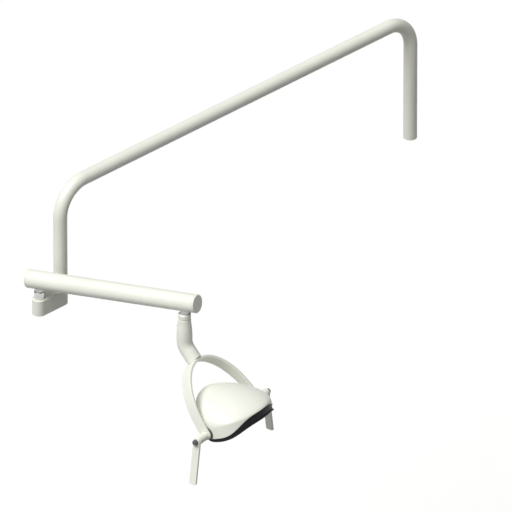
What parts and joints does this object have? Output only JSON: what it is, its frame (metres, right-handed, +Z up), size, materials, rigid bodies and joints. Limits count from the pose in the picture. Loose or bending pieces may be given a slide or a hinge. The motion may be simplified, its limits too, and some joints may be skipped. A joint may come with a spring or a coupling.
{
  "type": "surgical light",
  "caption": "Dental operatory light: bent post, knuckle, spring-balanced arm, swivelling stem and yoke, and a tilting reflector head with side handles.",
  "frame": {"origin": "centre of the flat lower end of the post, where the post is held", "axes": "+Z up along the post's held leg, away from its holder; the post's beam runs along -X; +Y completes the frame"},
  "size_m": [1.4679, 0.7291, 0.6327],
  "materials": {
    "ivory_paint": "satin ivory powder coat",
    "ivory_moulding": "semi-gloss ivory moulding",
    "steel": "turned steel",
    "zinc": "zinc plated",
    "black_moulding": "fine matt black moulding",
    "grey_moulding": "matt dark grey moulding",
    "nylon": "plain nylon",
    "mirror": "faceted bright reflector",
    "clear_shield": "clear moulded shield",
    "lamp_glass": "clear quartz",
    "ceramic": "unglazed ceramic"
  },
  "bodies": {
    "post": {"post_tube": "ivory_paint", "post_plug": "ivory_moulding", "knuckle_block": "ivory_paint", "knuckle_cover": "ivory_paint", "cover_screw_1": "zinc", "cover_screw_2": "zinc", "post_lock_screw": "zinc", "swivel_thrust_washer": "nylon"},
    "arm_base": {"swivel_shaft": "steel", "swivel_sleeve": "steel", "swivel_washer": "zinc", "swivel_nut": "zinc", "rear_hub": "zinc", "link_pin_rear": "steel"},
    "arm": {"arm_tube": "ivory_paint", "arm_cap_rear": "ivory_moulding", "arm_cap_front": "ivory_moulding", "lift_pin": "ivory_paint", "front_pin": "ivory_paint", "balance_spring": "zinc", "spring_bulkhead": "zinc", "spring_rod": "steel", "spring_seat": "zinc", "spring_adjusting_nut": "zinc"},
    "level_link": {"level_link": "zinc"},
    "front_hub": {"front_hub": "zinc", "link_pin_front": "steel", "front_spindle": "steel", "front_collar": "ivory_paint", "stem_thrust_washer": "nylon"},
    "yoke": {"stem": "ivory_paint", "stem_lock_screw": "zinc", "yoke": "ivory_paint", "yoke_bolt_1": "zinc", "yoke_bolt_2": "zinc", "friction_washer_inner_left": "nylon", "friction_washer_outer_left": "nylon", "friction_washer_inner_right": "nylon", "friction_washer_outer_right": "nylon"},
    "head": {"rear_shell": "ivory_moulding", "reflector_housing": "black_moulding", "bezel": "black_moulding", "front_shield": "clear_shield", "reflector": "mirror", "head_frame": "zinc", "lamp_socket": "ceramic", "halogen_lamp": "lamp_glass", "glare_shield": "steel", "tilt_boss_left": "grey_moulding", "tilt_boss_right": "grey_moulding", "tilt_shaft_left": "steel", "tilt_shaft_right": "steel", "handle_left": "ivory_moulding", "handle_right": "ivory_moulding"},
    "knob_left": {"tension_knob_left": "grey_moulding"},
    "knob_right": {"tension_knob_right": "grey_moulding"}
  },
  "joints": [
    {"name": "arm_swivel", "type": "hinge", "parent": "post", "child": "arm_base", "pos_m": [-1.414, 0, 0.1], "axis": [0, 0, 1], "range_deg": [-245, 35]},
    {"name": "arm_lift", "type": "hinge", "parent": "arm_base", "child": "arm", "pos_m": [-1.414, 0, 0.13], "axis": [-0.9636, -0.2672, 0], "range_deg": [-31, 16]},
    {"name": "link_pivot", "type": "hinge", "parent": "arm_base", "child": "level_link", "pos_m": [-1.414, 0, 0.1405], "axis": [-0.9636, -0.2672, 0], "range_deg": [-31, 16]},
    {"name": "front_level", "type": "hinge", "parent": "arm", "child": "front_hub", "pos_m": [-1.29427, -0.43173, 0.18978], "axis": [-0.9636, -0.2672, 0], "range_deg": [-16, 31]},
    {"name": "stem_swivel", "type": "hinge", "parent": "front_hub", "child": "yoke", "pos_m": [-1.29427, -0.43173, 0.13], "axis": [0, 0, 1], "range_deg": [-170, 170]},
    {"name": "head_tilt", "type": "hinge", "parent": "yoke", "child": "head", "pos_m": [-1.26879, -0.58402, -0.1136], "axis": [0.9863, 0.165, 0], "range_deg": [-80, 50]},
    {"name": "knob_left_turn", "type": "hinge", "parent": "head", "child": "knob_left", "pos_m": [-1.43429, -0.61171, -0.1136], "axis": [0.9863, 0.165, 0], "range_deg": [-120, 120]},
    {"name": "knob_right_turn", "type": "hinge", "parent": "head", "child": "knob_right", "pos_m": [-1.10329, -0.55632, -0.1136], "axis": [0.9863, 0.165, 0], "range_deg": [-120, 120]}
  ],
  "couplings": [
    {"joint": "link_pivot", "follows": "arm_lift", "ratio": 1},
    {"joint": "front_level", "follows": "arm_lift", "ratio": -1}
  ]
}
